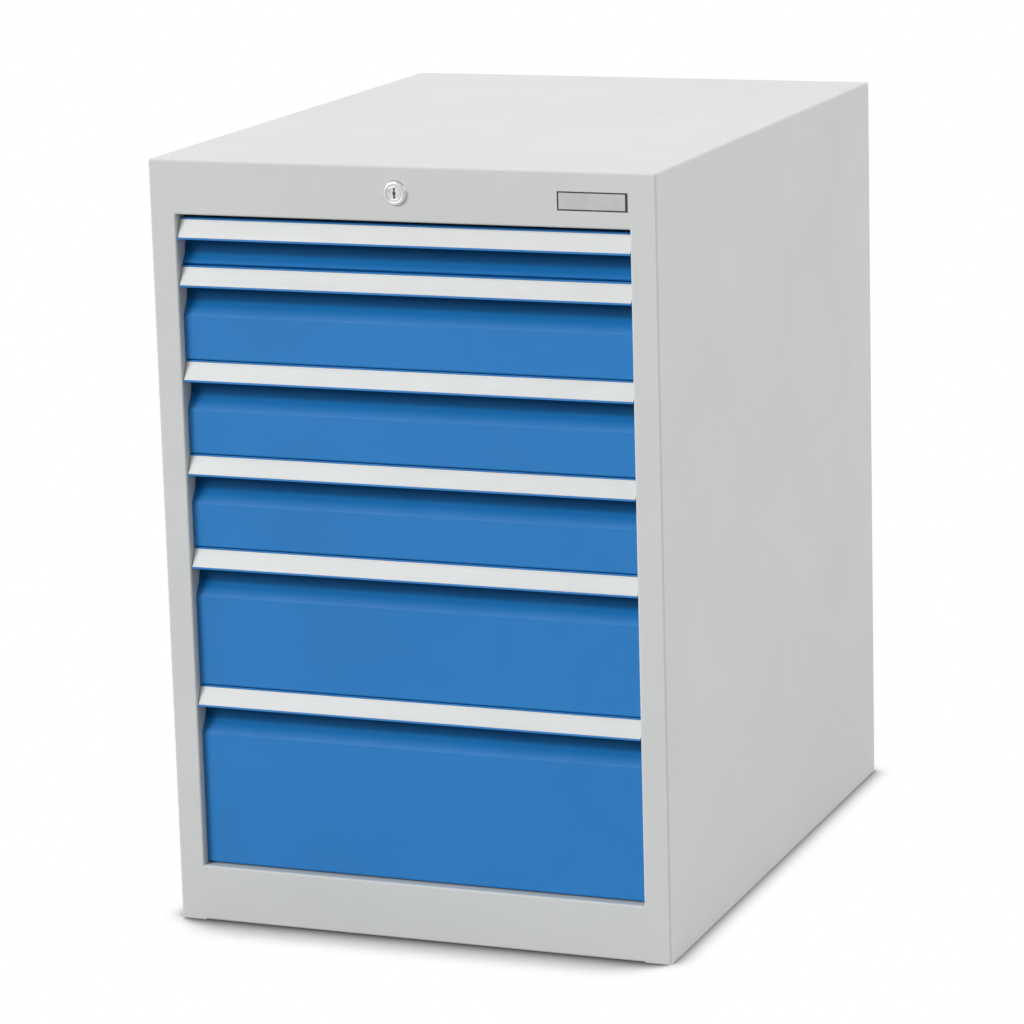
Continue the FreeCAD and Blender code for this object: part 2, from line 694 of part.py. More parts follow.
# ---------------------------------------------------------------- lock
def lock_housing():
    """Tapered collar on the rail's face and a barrel through it."""
    collar_front = front_y - COLLAR_THICKNESS
    collar = Part.makeCone(
        COLLAR_FRONT_RADIUS,
        COLLAR_BASE_RADIUS,
        COLLAR_THICKNESS,
        Vector(LOCK_X, collar_front, lock_z),
        Vector(0, 1, 0),
    )
    front_rim = [edge for edge in collar.Edges if edge.BoundBox.YMax < front_y - 1]
    collar = collar.makeFillet(COLLAR_ROUNDING, front_rim)
    barrel = rod(BARREL_RADIUS, LOCK_X, lock_z, front_y - 1, front_y + BARREL_LENGTH)
    bore = rod(PLUG_RADIUS + PLUG_CLEARANCE, LOCK_X, lock_z, collar_front - 1, front_y + BARREL_LENGTH + 1)
    return fused([collar, barrel]).cut(bore)


def lock_nut():
    """Hexagon nut that clamps the housing from behind."""
    corner_radius = NUT_ACROSS_FLATS / 2 / math.cos(math.radians(30))
    nut_y = front_y + CARCASS_SHEET
    corners = [
        Vector(
            LOCK_X + corner_radius * math.cos(math.radians(60 * n)),
            nut_y,
            lock_z + corner_radius * math.sin(math.radians(60 * n)),
        )
        for n in range(6)
    ]
    blank = Part.Face(Part.makePolygon(corners + corners[:1])).extrude(Vector(0, NUT_THICKNESS, 0))
    return blank.cut(rod(BARREL_RADIUS, LOCK_X, lock_z, nut_y - 1, nut_y + NUT_THICKNESS + 1))


def lock_plug():
    """Turning plug with an upright keyhole."""
    plug_front = front_y - COLLAR_THICKNESS + PLUG_RECESS
    plug = rod(PLUG_RADIUS, LOCK_X, lock_z, plug_front, front_y + BARREL_LENGTH)
    half_height, half_slot, half_middle = KEYHOLE_HEIGHT / 2, KEYHOLE_WIDTH / 2, KEYHOLE_MIDDLE / 2
    quarter = [
        (half_slot, half_height),
        (half_slot, half_middle),
        (half_middle, 0),
        (half_slot, -half_middle),
        (half_slot, -half_height),
    ]
    outline = quarter + [(-x, z) for x, z in reversed(quarter)]
    points = [Vector(LOCK_X + x, plug_front - 1, lock_z + z) for x, z in outline]
    keyhole = Part.Face(Part.makePolygon(points + points[:1])).extrude(Vector(0, KEYHOLE_DEPTH + 1, 0))
    return plug.cut(keyhole)


def drive_rod():
    """Rod from the plug to the back, with a crank and its pin."""
    shaft = rod(ROD_RADIUS, LOCK_X, lock_z, front_y + BARREL_LENGTH, rod_back_y)
    pin_x, pin_z = LOCK_X - crank_rise, lock_z - crank_rise
    crank_y = rod_back_y - CRANK_THICKNESS
    eye_radius = CRANK_PIN_RADIUS + CRANK_MARGIN / 2
    across = Vector(eye_radius, 0, -eye_radius) / math.sqrt(2)
    ends = [Vector(LOCK_X, crank_y, lock_z), Vector(pin_x, crank_y, pin_z)]
    corners = [ends[0] + across, ends[1] + across, ends[1] - across, ends[0] - across]
    arm = Part.Face(Part.makePolygon(corners + corners[:1])).extrude(Vector(0, CRANK_THICKNESS, 0))
    crank = [
        rod(ROD_RADIUS + CRANK_MARGIN / 2, LOCK_X, lock_z, crank_y, rod_back_y),
        rod(eye_radius, pin_x, pin_z, crank_y, rod_back_y),
        arm,
    ]
    pin = rod(CRANK_PIN_RADIUS, pin_x, pin_z, crank_y, bar_back_y + CRANK_TO_BAR)
    return fused([shaft, pin] + crank)


def rod_bracket():
    """Hanger under the top panel that carries the rod's rear end."""
    top = height - CARCASS_SHEET
    y1 = rod_back_y - CRANK_THICKNESS - CRANK_TO_BAR
    y0 = y1 - BRACKET_SHEET
    x0, x1 = LOCK_X - BRACKET_WIDTH / 2, LOCK_X + BRACKET_WIDTH / 2
    plate = block(x0, x1, y0, y1, lock_z - 2 * ROD_RADIUS, top)
    foot = block(x0, x1, y0 - BRACKET_WIDTH / 2, y1, top - BRACKET_SHEET, top)
    return fused([plate, foot]).cut(rod(ROD_RADIUS + ROD_CLEARANCE, LOCK_X, lock_z, y0 - 1, y1 + 1))


def locking_bar():
    """Upright flat bar with a slot for the crank pin and a peg below each catch tab."""
    bar = block(
        bar_x - BAR_WIDTH / 2,
        bar_x + BAR_WIDTH / 2,
        bar_front_y,
        bar_back_y,
        FLOOR_TO_OPENING - BAR_TAIL,
        lock_z + BAR_ABOVE_ROD,
    )
    pieces = [bar]
    for floor in drawer_floors():
        peg_top = floor + CATCH_HEIGHT - PEG_CLEARANCE
        arm_top = peg_top - PEG_HEIGHT
        x0, x1 = bar_x - PEG_SIZE / 2, bar_x + PEG_SIZE / 2
        y0, y1 = catch_y - PEG_SIZE / 2, catch_y + PEG_SIZE / 2
        pieces.append(block(x0, x1, y0, bar_front_y, arm_top - PEG_ARM, arm_top))
        pieces.append(block(x0, x1, y0, y1, arm_top - PEG_ARM / 2, peg_top))
    reach = CRANK_PIN_RADIUS + PIN_SLOT_CLEARANCE
    slot = block(
        LOCK_X - CRANK_RADIUS - reach,
        LOCK_X - crank_rise + reach,
        bar_front_y - 1,
        bar_back_y + 1,
        lock_z - crank_rise - reach,
        lock_z - crank_rise + reach,
    )
    return fused(pieces).cut(slot)


def bar_guide(z):
    """Sleeve around the locking bar on two legs from the back panel."""
    inner_back_y = rear_flange_inner_y - CARCASS_SHEET
    gap = BAR_GUIDE_CLEARANCE
    x0, x1 = bar_x - BAR_WIDTH / 2 - gap, bar_x + BAR_WIDTH / 2 + gap
    y0, y1 = bar_front_y - gap, bar_back_y + gap
    z0, z1 = z - GUIDE_HEIGHT / 2, z + GUIDE_HEIGHT / 2
    sleeve = block(x0 - GUIDE_WALL, x1 + GUIDE_WALL, y0 - GUIDE_WALL, y1 + GUIDE_WALL, z0, z1)
    legs = [
        block(x0 - GUIDE_WALL, x0, y1, inner_back_y, z0, z1),
        block(x1, x1 + GUIDE_WALL, y1, inner_back_y, z0, z1),
        block(x0 - GUIDE_FOOT, x0, inner_back_y - GUIDE_WALL, inner_back_y, z0, z1),
        block(x1, x1 + GUIDE_FOOT, inner_back_y - GUIDE_WALL, inner_back_y, z0, z1),
    ]
    return fused([sleeve] + legs).cut(block(x0, x1, y0, y1, z0 - 1, z1 + 1))


# ---------------------------------------------------------------- assembly
def carcass_nodes():
    rails = []
    for floor in drawer_floors():
        rails += both_sides(cabinet_rail(floor + RAIL_CENTRE))
    right_side = side_panel()
    return {
        "right_side_panel": [right_side],
        "left_side_panel": [mirrored(right_side)],
        "top_panel": [top_panel()],
        "bottom_front_rail": [bottom_front_rail()],
        "floor_panel": [floor_panel()],
        "back_panel": [back_panel()],
        "front_uprights": both_sides(upright(front_upright_y)),
        "rear_uprights": both_sides(upright(rear_upright_y)),
        "cabinet_rails": rails,
        "name_plate": [name_plate()],
    }


def lock_nodes():
    floors = drawer_floors()
    return {
        "lock_housing": [lock_housing()],
        "lock_nut": [lock_nut()],
        "lock_plug": [lock_plug()],
        "drive_rod": [drive_rod()],
        "rod_bracket": [rod_bracket()],
        "locking_bar": [locking_bar()],
        "locking_bar_guides": [bar_guide(floors[n - 1] - GUIDE_DROP) for n in GUIDED_DRAWERS],
    }


def drawer_nodes(number, floor, pitch):
    z = floor + RAIL_CENTRE
    outer_cages = outer_cage(z)
    inner_cages = inner_cage(z)
    name = f"drawer_{number}_"
    return {
        name + "front": [drawer_front(floor, pitch)],
        name + "label_strip": [label_strip(floor, pitch)],
        name + "tray": [tray(floor, pitch)],
        name + "drawer_rails": both_sides(drawer_rail(z)),
        name + "middle_rails": both_sides(middle_rail(z)),
        name + "outer_ball_cages": outer_cages + [mirrored(piece) for piece in outer_cages],
        name + "inner_ball_cages": inner_cages + [mirrored(piece) for piece in inner_cages],
    }


def export(nodes):
    for name, solids in nodes.items():
        shape = solids[0] if len(solids) == 1 else Part.makeCompound(solids)
        shape.exportStep(f"parts/{name}.step")
        state = "valid" if shape.isValid() else "NOT VALID"
        print(f"{name}: {len(shape.Solids)} solid(s), {state}, {shape.Volume / 1000:.1f} cm3")


os.makedirs("parts", exist_ok=True)
export(carcass_nodes())
export(lock_nodes())
for index, (drawer_floor, drawer_pitch) in enumerate(zip(drawer_floors(), drawer_pitches)):
    export(drawer_nodes(index + 1, drawer_floor, drawer_pitch))
print(f"drawer travel {drawer_travel:.4f}, locking bar lift {bar_lift:.4f}, height {height:.1f}")
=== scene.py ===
"""Reagent drawer cabinet: finishes, fine pieces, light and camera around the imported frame.

Metres, in the frame's own axes: x to the right seen from the front, y to the back, z up.
"""

import json
import math

import bpy
from mathutils import Matrix, Vector

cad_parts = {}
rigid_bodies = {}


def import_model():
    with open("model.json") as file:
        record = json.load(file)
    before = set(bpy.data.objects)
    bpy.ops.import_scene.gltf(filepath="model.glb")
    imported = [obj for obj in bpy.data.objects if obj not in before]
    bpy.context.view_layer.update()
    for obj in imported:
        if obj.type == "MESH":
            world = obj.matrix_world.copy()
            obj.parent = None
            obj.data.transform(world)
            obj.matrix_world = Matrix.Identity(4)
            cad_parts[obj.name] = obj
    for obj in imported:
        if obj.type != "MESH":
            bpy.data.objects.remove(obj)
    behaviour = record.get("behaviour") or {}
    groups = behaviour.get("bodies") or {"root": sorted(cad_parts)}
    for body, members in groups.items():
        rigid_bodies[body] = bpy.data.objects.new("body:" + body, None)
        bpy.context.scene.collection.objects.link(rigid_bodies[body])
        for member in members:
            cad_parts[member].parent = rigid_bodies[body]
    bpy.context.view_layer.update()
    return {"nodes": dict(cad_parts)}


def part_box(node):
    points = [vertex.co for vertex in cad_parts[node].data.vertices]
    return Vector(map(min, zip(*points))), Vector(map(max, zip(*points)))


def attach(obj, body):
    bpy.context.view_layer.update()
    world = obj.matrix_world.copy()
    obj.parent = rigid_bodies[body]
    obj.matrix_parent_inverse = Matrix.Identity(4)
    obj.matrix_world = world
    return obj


for leftover in list(bpy.data.objects):
    bpy.data.objects.remove(leftover)

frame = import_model()

MM = 0.001
FRONT_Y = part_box("top_panel")[0].y  # the carcass front, which depths are measured from

# ---------------------------------------------------------------- materials
PANEL_DEPTH = 9.0 * MM  # a drawer's flat panel, behind the carcass front
RECESS_KNEE_DEPTH = 17.6 * MM  # where the recess stops sloping and turns up behind the grip
SLOPE_SHADE_TONE = 0.72  # painted shade: share of the tone that is left at the knee
BACK_SHADE_TONE = 0.5  # painted shade: and of that again behind the knee
KNEE_START, KNEE_END = RECESS_KNEE_DEPTH - 0.8 * MM, RECESS_KNEE_DEPTH + 1.0 * MM
# painted shade on the reflection: the recess's shine falls to a share of itself from the panel to this depth
SHADED_SHINE_END = RECESS_KNEE_DEPTH - 3 * MM
SHADED_SHINE = 0.15
COAT_SHINE = 0.5  # the shader's default specular level
FACING_START, FACING_END = -0.5, -0.75  # how far forward a surface faces to count as the recess
# patterns' repeats per metre along x, y and z: long in the direction of drawing or rolling
STRIP_LINES = (2, 900, 900)
STRIP_CLOUD = (25, 25, 25)
METAL_CLOUD = (45, 45, 45)
ZINC_GRAIN = (900, 4, 900)
CAGE_GRAIN = (500, 6, 500)
PLATE_GRAIN = (6, 900, 900)


def linear(code):
    """The linear colour of an sRGB hex code."""
    channels = [int(code[n : n + 2], 16) / 255 for n in (1, 3, 5)]
    return [c / 12.92 if c <= 0.04045 else ((c + 0.055) / 1.055) ** 2.4 for c in channels] + [1.0]


def add(tree, kind, sockets=None, **settings):
    """A node with its settings; each socket takes a value or the output that is linked to it."""
    made = tree.nodes.new("ShaderNode" + kind)
    for name, value in settings.items():
        setattr(made, name, value)
    for name, value in (sockets or {}).items():
        if isinstance(value, bpy.types.NodeSocket):
            tree.links.new(value, made.inputs[name])
        else:
            made.inputs[name].default_value = value
    return made


def blank_material(name):
    """An empty material and its node tree."""
    material = bpy.data.materials.new(name)
    material.use_nodes = True
    material.node_tree.nodes.clear()
    return material, material.node_tree


def stretched_place(tree, scale, centre=(0, 0, 0)):
    """Object coordinates in repeats per metre along each axis, around a centre."""
    place = add(tree, "TexCoord").outputs["Object"]
    shift = [-c * s for c, s in zip(centre, scale)]
    return add(tree, "Mapping", {"Vector": place, "Location": shift, "Scale": scale}).outputs[0]


def graded(tree, factor, low, high):
    """A value between low and high as the factor goes from 0.3 to 0.7, where noise mostly lies."""
    ranged = {"Value": factor, "From Min": 0.3, "From Max": 0.7, "To Min": low, "To Max": high}
    return add(tree, "MapRange", ranged).outputs[0]


def tinted(tree, factor, dark, light):
    """A colour between two hex codes."""
    mixed = add(tree, "Mix", data_type="RGBA")
    tree.links.new(graded(tree, factor, 0, 1), mixed.inputs["Factor"])
    mixed.inputs["A"].default_value = linear(dark)
    mixed.inputs["B"].default_value = linear(light)
    return mixed.outputs["Result"]


def recess_painted_shade(tree):
    """Painted shade on a drawer front: its tone darkens and its shine weakens in the narrow recess
    behind the grip, where shade falls under the grip, and more so behind the knee."""
    place = add(tree, "TexCoord")
    depth = add(tree, "SeparateXYZ", {"Vector": place.outputs["Object"]}).outputs["Y"]
    forward = add(tree, "SeparateXYZ", {"Vector": place.outputs["Normal"]}).outputs["Y"]

    def falling(from_depth, to_depth, end, **settings):
        """1 down to end as the surface goes from one depth behind the carcass front to another."""
        ranged = {"Value": depth, "From Min": FRONT_Y + from_depth, "From Max": FRONT_Y + to_depth}
        ranged.update({"To Min": 1.0, "To Max": end})
        return add(tree, "MapRange", ranged, **settings).outputs[0]

    slope = falling(PANEL_DEPTH, RECESS_KNEE_DEPTH, SLOPE_SHADE_TONE)
    back = falling(KNEE_START, KNEE_END, BACK_SHADE_TONE, interpolation_type="SMOOTHSTEP")
    inside = add(tree, "Math", {0: slope, 1: back}, operation="MULTIPLY").outputs[0]
    shine_in_shade = falling(PANEL_DEPTH, SHADED_SHINE_END, SHADED_SHINE)
    facing = {"Value": forward, "From Min": FACING_START, "From Max": FACING_END, "To Min": 1.0}
    painted_shade = add(tree, "MapRange", {**facing, "To Max": inside}).outputs[0]
    shine = add(tree, "MapRange", {**facing, "To Max": shine_in_shade}).outputs[0]
    return painted_shade, add(tree, "Math", {0: shine, 1: COAT_SHINE}, operation="MULTIPLY").outputs[0]


def powder_coat(name, dark, light, roughness, ior, painted_shade=None):
    """Polyester powder, sprayed and baked on steel sheet. It flows out into a shallow orange peel
    that softens every reflection, and its gloss and tone drift slightly over a hand's breadth."""
    material, tree = blank_material(name)
    place = add(tree, "TexCoord").outputs["Object"]
    # tone drifts over 150 mm and gloss over 40 mm; the peel's own 3 mm is drawn as 7 mm and the
    # grain of the powder as 1.5 mm, because finer wouldn't show
    drift = add(tree, "TexNoise", {"Vector": place, "Scale": 1 / (150 * MM), "Detail": 3.0})
    peel = add(tree, "TexNoise", {"Vector": place, "Scale": 1 / (7 * MM), "Detail": 4.0})
    grain = add(tree, "TexNoise", {"Vector": place, "Scale": 1 / (1.5 * MM), "Detail": 2.0})
    rough = {"Vector": place, "Scale": 1 / (40 * MM), "Detail": 4.0}
    gloss = graded(tree, add(tree, "TexNoise", rough).outputs[0], roughness - 0.04, roughness + 0.04)
    fine = add(tree, "Bump", {"Height": grain.outputs[0], "Strength": 0.06, "Distance": 0.2 * MM})
    bump = {"Height": peel.outputs[0], "Strength": 0.10, "Distance": 1.0 * MM}
    bump["Normal"] = fine.outputs[0]
    tone, shine = tinted(tree, drift.outputs[0], dark, light), COAT_SHINE
    # painted shade: darkens the tone and lowers the shine where the recess behind a grip lies in shade
    if painted_shade:
        thickness, shine = painted_shade(tree)
        shaded_tone = {"Vector": tone, "Scale": thickness}
        tone = add(tree, "VectorMath", shaded_tone, operation="SCALE").outputs[0]
    surface = add(
        tree,
        "BsdfPrincipled",
        {
            "Base Color": tone,
            "Specular IOR Level": shine,
            "Roughness": gloss,
            "IOR": ior,
            "Normal": add(tree, "Bump", bump).outputs[0],
        },
    )
    add(tree, "OutputMaterial", {"Surface": surface.outputs[0]})
    return material


def drawn_strip(name, dark, light):
    """Rigid PVC, extruded lengthwise. It is satin, with faint die lines along its length."""
    material, tree = blank_material(name)
    lines = {"Vector": stretched_place(tree, STRIP_LINES), "Scale": 1.0, "Detail": 3.0}
    die_lines = add(tree, "TexNoise", lines).outputs[0]
    cloud = {"Vector": stretched_place(tree, STRIP_CLOUD), "Scale": 1.0, "Detail": 3.0}
    bump = {"Height": die_lines, "Strength": 0.15, "Distance": 0.1 * MM}
    surface = add(
        tree,
        "BsdfPrincipled",
        {
            "Base Color": tinted(tree, add(tree, "TexNoise", cloud).outputs[0], dark, light),
            "Roughness": graded(tree, die_lines, 0.38, 0.48),
            "IOR": 1.54,
            "Normal": add(tree, "Bump", bump).outputs[0],
        },
    )
    add(tree, "OutputMaterial", {"Surface": surface.outputs[0]})
    return material


def metal(name, dark, light, roughness, grain_scale, bump_strength):
    """Metal with a grain: grain_scale gives its repeats per metre along each axis."""
    material, tree = blank_material(name)
    grain = {"Vector": stretched_place(tree, grain_scale), "Scale": 1.0, "Detail": 4.0}
    grain = add(tree, "TexNoise", grain).outputs[0]
    cloud = {"Vector": stretched_place(tree, METAL_CLOUD), "Scale": 1.0, "Detail": 3.0}
    cloud = add(tree, "TexNoise", cloud).outputs[0]
    bump = {"Height": grain, "Strength": bump_strength, "Distance": 0.1 * MM}
    surface = add(
        tree,
        "BsdfPrincipled",
        {
            "Base Color": tinted(tree, cloud, dark, light),
            "Metallic": 1.0,
            "Roughness": graded(tree, grain, roughness - 0.06, roughness + 0.08),
            "Normal": add(tree, "Bump", bump).outputs[0],
        },
    )
    add(tree, "OutputMaterial", {"Surface": surface.outputs[0]})
    return material


def turned_metal(name, dark, light, roughness, centre):
    """Metal turned on a lathe around an axis along y, then satin plated: fine rings around centre
    that spread a highlight into two fans."""
    material, tree = blank_material(name)
    place = stretched_place(tree, (1, 1, 1), centre)
    # the tool's 0.1 mm feed drawn as 0.5 mm, because finer wouldn't show
    rings = {"Vector": place, "Scale": 1 / (20 * 0.5 * MM), "Distortion": 0.4, "Detail": 2.0}
    rings = add(tree, "TexWave", rings, wave_type="RINGS", rings_direction="Y").outputs[1]
    cloud = add(tree, "TexNoise", {"Vector": place, "Scale": 1 / (6 * MM), "Detail": 3.0}).outputs[0]
    bump = {"Height": rings, "Strength": 0.25, "Distance": 0.05 * MM}
    surface = add(
        tree,
        "BsdfPrincipled",
        {
            "Base Color": tinted(tree, cloud, dark, light),
            "Metallic": 1.0,
            "Roughness": graded(tree, cloud, roughness - 0.05, roughness + 0.08),
            "Normal": add(tree, "Bump", bump).outputs[0],
        },
    )
    add(tree, "OutputMaterial", {"Surface": surface.outputs[0]})
    return material


plug_low, plug_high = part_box("lock_plug")
lock_place = ((plug_low.x + plug_high.x) / 2, 0, (plug_low.z + plug_high.z) / 2)
carcass_coat = powder_coat("carcass_powder_coat", "#C6C8C7", "#CACCCB", 0.58, 1.45)
# blue powder coat, with painted shade in the recess behind each grip
drawer_coat_and_recess_shade = powder_coat("drawer_powder_coat_with_painted_recess_shade", "#1270B4", "#1675BA", 0.60, 1.45, recess_painted_shade)
tray_coat = powder_coat("tray_powder_coat", "#C4C6C5", "#CACCCB", 0.56, 1.45)
strip_pvc = drawn_strip("label_strip_pvc", "#C5C7C7", "#CACCCC")
rolled_zinc = metal("rolled_zinc_steel", "#B9BEC2", "#C9CDD0", 0.34, ZINC_GRAIN, 0.12)
cage_steel = metal("cage_steel", "#A9A9A6", "#BDBDBA", 0.30, CAGE_GRAIN, 0.08)
nickel = turned_metal("satin_nickel", "#C6C8C7", "#D0D2D1", 0.32, lock_place)
# black rubber for the name plate's gap, partly painted shade for the shade in that gap
rubber_gap_shade = powder_coat("black_rubber_painted_gap_shade", "#2A2B2D", "#343538", 0.72, 1.5)
plate_metal = metal("anodised_plate", "#A7A7A8", "#B1B1B2", 0.45, PLATE_GRAIN, 0.10)

FINISHES = [
    (carcass_coat, ["_side_panel", "top_panel", "_front_rail", "floor_panel", "back_panel"]),
    (drawer_coat_and_recess_shade, ["_front"]),
    (tray_coat, ["_tray"]),
    (strip_pvc, ["_label_strip"]),
    (cage_steel, ["_ball_cages"]),
    (nickel, ["lock_housing", "lock_nut", "lock_plug"]),
    (plate_metal, ["name_plate"]),
]


def finish_of(node):
    """The finish of a node, by the end of its name; what isn't listed is rolled zinc."""
    for material, endings in FINISHES:
        if node.endswith(tuple(endings)):
            return material
    return rolled_zinc


for node, piece in frame["nodes"].items():
    piece.data.materials.clear()
    piece.data.materials.append(finish_of(node))


# ---------------------------------------------------------------- fine pieces
def edit_everything(piece, action):
    """Runs an edit-mode action on the whole mesh of one piece."""
    bpy.ops.object.select_all(action="DESELECT")
    piece.select_set(True)
    bpy.context.view_layer.objects.active = piece
    bpy.ops.object.mode_set(mode="EDIT")
    bpy.ops.mesh.select_mode(type="FACE")
    bpy.ops.mesh.select_all(action="SELECT")
    action()
    bpy.ops.object.mode_set(mode="OBJECT")


def settled(piece, name, material, body):
    """Names the piece, puts its place into its mesh, gives it its finish and its body."""
    bpy.ops.object.select_all(action="DESELECT")
    piece.select_set(True)
    bpy.context.view_layer.objects.active = piece
    bpy.ops.object.transform_apply(location=True, rotation=True, scale=True)
    piece.name = name
    piece.data.name = name
    piece.data.materials.clear()
    piece.data.materials.append(material)
    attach(piece, body)
    return piece


def rounded_over(piece, width, segments):
    """Rounds the sharp edges of a piece."""
    bevel = piece.modifiers.new("rounding", "BEVEL")
    bevel.width = width
    bevel.segments = segments
    bevel.limit_method = "ANGLE"
    bevel.angle_limit = math.radians(35)
    bpy.ops.object.modifier_apply(modifier=bevel.name)


def turned_ring(name, centre, inner, outer, height, body):
    """Raised ring, turned on the lock's axis, with its edges rounded; centre is on its seat."""
    bpy.ops.object.select_all(action="DESELECT")
    bpy.ops.mesh.primitive_circle_add(
        vertices=RING_VERTICES, radius=outer, fill_type="NGON", location=centre, rotation=(math.pi / 2, 0, 0)
    )
    ring = bpy.context.object

    def open_and_raise():
        bpy.ops.mesh.inset(thickness=outer - inner)
        bpy.ops.mesh.delete(type="FACE")
        bpy.ops.mesh.select_all(action="SELECT")
        bpy.ops.mesh.extrude_region_move(TRANSFORM_OT_translate={"value": (0, -height, 0)})
        bpy.ops.mesh.select_all(action="SELECT")
        bpy.ops.mesh.normals_make_consistent(inside=False)

    edit_everything(ring, open_and_raise)
    rounded_over(ring, height * RING_ROUNDING, 2)
    bpy.ops.object.shade_smooth_by_angle(angle=math.radians(40))
    return settled(ring, name, nickel, body)


RING_VERTICES = 64
RING_ROUNDING = 0.45  # share of a ring's height
PLATE_GAP = 1.5 * MM
PLATE_RIGHT_GAP = 3.0 * MM
WINDOW_WIDTH = 75 * MM
WINDOW_HEIGHT = 19.5 * MM
GASKET_FIT = 0.1 * MM
GASKET_SINK = 0.5 * MM
GASKET_ROUNDING = 0.2 * MM
CARCASS_SHEET = 1.5 * MM
PLATE_BASE_MARGIN = 5 * MM


def plate_gasket_gap_shade():
    """Black rubber channel that fills the gap between the name plate and its window. Its black is
    partly painted shade: it stands for the shade that falls in that gap, widest at the right.
    """
    low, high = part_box("name_plate")
    left = low.x + PLATE_BASE_MARGIN
    centre_z = (low.z + high.z) / 2
    width, height = WINDOW_WIDTH - 2 * GASKET_FIT, WINDOW_HEIGHT - 2 * GASKET_FIT
    bpy.ops.object.select_all(action="DESELECT")
    bpy.ops.mesh.primitive_plane_add(
        size=1,
        location=(left + WINDOW_WIDTH / 2, FRONT_Y + CARCASS_SHEET - GASKET_FIT, centre_z),
        rotation=(math.pi / 2, 0, 0),
    )
    gasket = bpy.context.object
    gasket.scale = (width, height, 1)
    bpy.ops.object.transform_apply(location=True, rotation=True, scale=True)
    inner_right = left + WINDOW_WIDTH - PLATE_RIGHT_GAP + GASKET_FIT
    band = PLATE_GAP - 2 * GASKET_FIT

    def cut_window():
        bpy.ops.mesh.inset(thickness=band)
        bpy.ops.mesh.delete(type="FACE")

    edit_everything(gasket, cut_window)
    wide_edge = left + WINDOW_WIDTH - GASKET_FIT - band
    for corner in gasket.data.vertices:
        if abs(corner.co.x - wide_edge) < GASKET_FIT / 2:
            corner.co.x = inner_right
    rise = CARCASS_SHEET - GASKET_FIT - GASKET_SINK

    def raise_band():
        bpy.ops.mesh.extrude_region_move(TRANSFORM_OT_translate={"value": (0, -rise, 0)})
        bpy.ops.mesh.select_all(action="SELECT")
        bpy.ops.mesh.normals_make_consistent(inside=False)

    edit_everything(gasket, raise_band)
    rounded_over(gasket, GASKET_ROUNDING, 2)
    return settled(gasket, "name_plate_gasket_gap_shade", rubber_gap_shade, "cabinet")


COLLAR_RIM = (9.0 * MM, 10.8 * MM, 0.45 * MM)  # inner radius, outer radius, height
PLUG_RIM = (6.2 * MM, 7.4 * MM, 0.30 * MM)
REAR_FLANGE = 16 * MM
WELD_RADIUS = 3.2 * MM
WELD_RIM = 0.3 * MM
WELD_SHOULDER, WELD_CREST, WELD_SLOPE = 0.25, 0.15, 0.2  # shares of the radius, from the outside
WELD_DIMPLE = 0.8  # share of the rim's height
WELD_SINK = 0.4 * MM
WELD_PITCH = 95 * MM
WELD_END = 28 * MM


def weld_mark(x, z, y):
    """Dimple with a raised rim, left in the sheet by a spot welder's electrode."""
    bpy.ops.object.select_all(action="DESELECT")
    bpy.ops.mesh.primitive_circle_add(
        vertices=24,
        radius=WELD_RADIUS,
        fill_type="NGON",
        location=(x, y - WELD_SINK, z),
        rotation=(-math.pi / 2, 0, 0),
    )
    mark = bpy.context.object

    def press():
        bpy.ops.mesh.extrude_region_move(TRANSFORM_OT_translate={"value": (0, WELD_SINK, 0)})
        bpy.ops.mesh.inset(thickness=WELD_RADIUS * WELD_SHOULDER)
        bpy.ops.transform.translate(value=(0, WELD_RIM, 0))
        bpy.ops.mesh.inset(thickness=WELD_RADIUS * WELD_CREST)
        bpy.ops.mesh.inset(thickness=WELD_RADIUS * WELD_SLOPE)
        bpy.ops.transform.translate(value=(0, -WELD_RIM * WELD_DIMPLE, 0))
        bpy.ops.mesh.select_all(action="SELECT")
        bpy.ops.mesh.normals_make_consistent(inside=False)

    edit_everything(mark, press)
    bpy.ops.object.shade_smooth_by_angle(angle=math.radians(60))
    return mark


def rear_flange_welds():
    """Two rows of spot welds that hold the back panel to the side panels' rear flanges."""
    low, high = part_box("back_panel")
    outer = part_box("right_side_panel")[1]
    count = int((high.z - low.z - 2 * WELD_END) / WELD_PITCH) + 1
    heights = [low.z + WELD_END + n * WELD_PITCH for n in range(count)]
    sides = (REAR_FLANGE / 2 - outer.x, outer.x - REAR_FLANGE / 2)
    marks = [weld_mark(x, z, outer.y) for x in sides for z in heights]
    bpy.ops.object.select_all(action="DESELECT")
    for mark in marks:
        mark.select_set(True)
    bpy.context.view_layer.objects.active = marks[0]
    bpy.ops.object.join()
    settled(marks[0], "rear_flange_welds", carcass_coat, "cabinet")


lock_x, _, lock_z = lock_place
collar_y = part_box("lock_housing")[0].y
turned_ring("lock_collar_rim", (lock_x, collar_y, lock_z), *COLLAR_RIM, "cabinet")
turned_ring("lock_plug_rim", (lock_x, plug_low.y, lock_z), *PLUG_RIM, "lock_drive")
plate_gasket_gap_shade()
rear_flange_welds()


# ---------------------------------------------------------------- floor, light, camera
# reach of each of the floor's shadows, then the hidden share of sky where it starts and where it
# is full, its bend and its depth
SIDE_SHADOW = (28 * MM, 0.0, 0.5, 1.6, 0.8)
FRONT_SHADOW = (106 * MM, 0.257, 0.508, 2.7, 0.71)
BELOW_SHADOW = (600 * MM, 0.5, 1.0, 1.0, 0.45)
SHADOW_SAMPLES = 48
FLOOR_BOUNCE = (0.42, 0.42, 0.42, 1.0)
WORLD_LEVEL = 0.50
LIGHTS = [
    ("front_light", (-0.56, -0.72, 0.41), 0.74, 28),
    ("top_light", (-0.25, 0.45, 0.85), 0.37, 50),
    ("right_light", (0.88, 0.30, 0.37), 0.55, 50),
]


